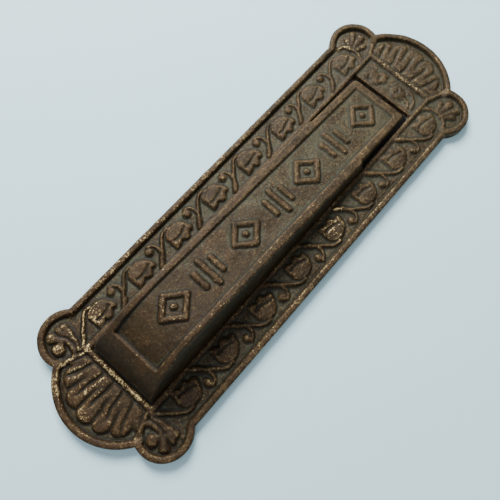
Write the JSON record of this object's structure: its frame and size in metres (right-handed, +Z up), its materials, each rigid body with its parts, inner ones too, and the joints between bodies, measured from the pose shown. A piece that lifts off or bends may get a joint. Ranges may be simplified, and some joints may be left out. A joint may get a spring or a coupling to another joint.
{
  "type": "letter plate",
  "caption": "Vertical cast-iron letter plate for a door: ornate plate with lobed corners and fan crests, and a long hinged flap with a bulging finger grip.",
  "frame": {"origin": "centre of the plate's outline, on the plane of the door's surface", "axes": "+Z up the door along the plate's length, +Y into the door, the decorated face looks along -Y, +X to the right of someone facing the door"},
  "size_m": [0.081, 0.0314, 0.2468],
  "materials": {
    "cast_iron_plate": "bronzed cast iron, worn to dull brass tones on the ridges, rust in the hollows",
    "cast_iron_flap": "bronzed cast iron, smoother and darker on the handled nose",
    "pin_steel": "dull oiled steel",
    "washer_steel": "tarnished steel",
    "split_pin_steel": "tarnished steel",
    "spring_steel": "blued spring steel"
  },
  "bodies": {
    "plate": {"face_plate": "cast_iron_plate", "hinge_pin": "pin_steel", "pin_washer_left": "washer_steel", "pin_washer_right": "washer_steel", "split_pin_left": "split_pin_steel", "split_pin_right": "split_pin_steel", "flap_spring": "spring_steel"},
    "flap": {"letter_flap": "cast_iron_flap"}
  },
  "joints": [
    {"name": "flap_hinge", "type": "hinge", "parent": "plate", "child": "flap", "pos_m": [0, 0.003, 0.05], "axis": [-1, 0, 0], "range_deg": [0, 42], "stiffness_Nm_per_rad": 0.02, "springref_deg": -34.38, "deforming": ["flap_spring"]}
  ]
}
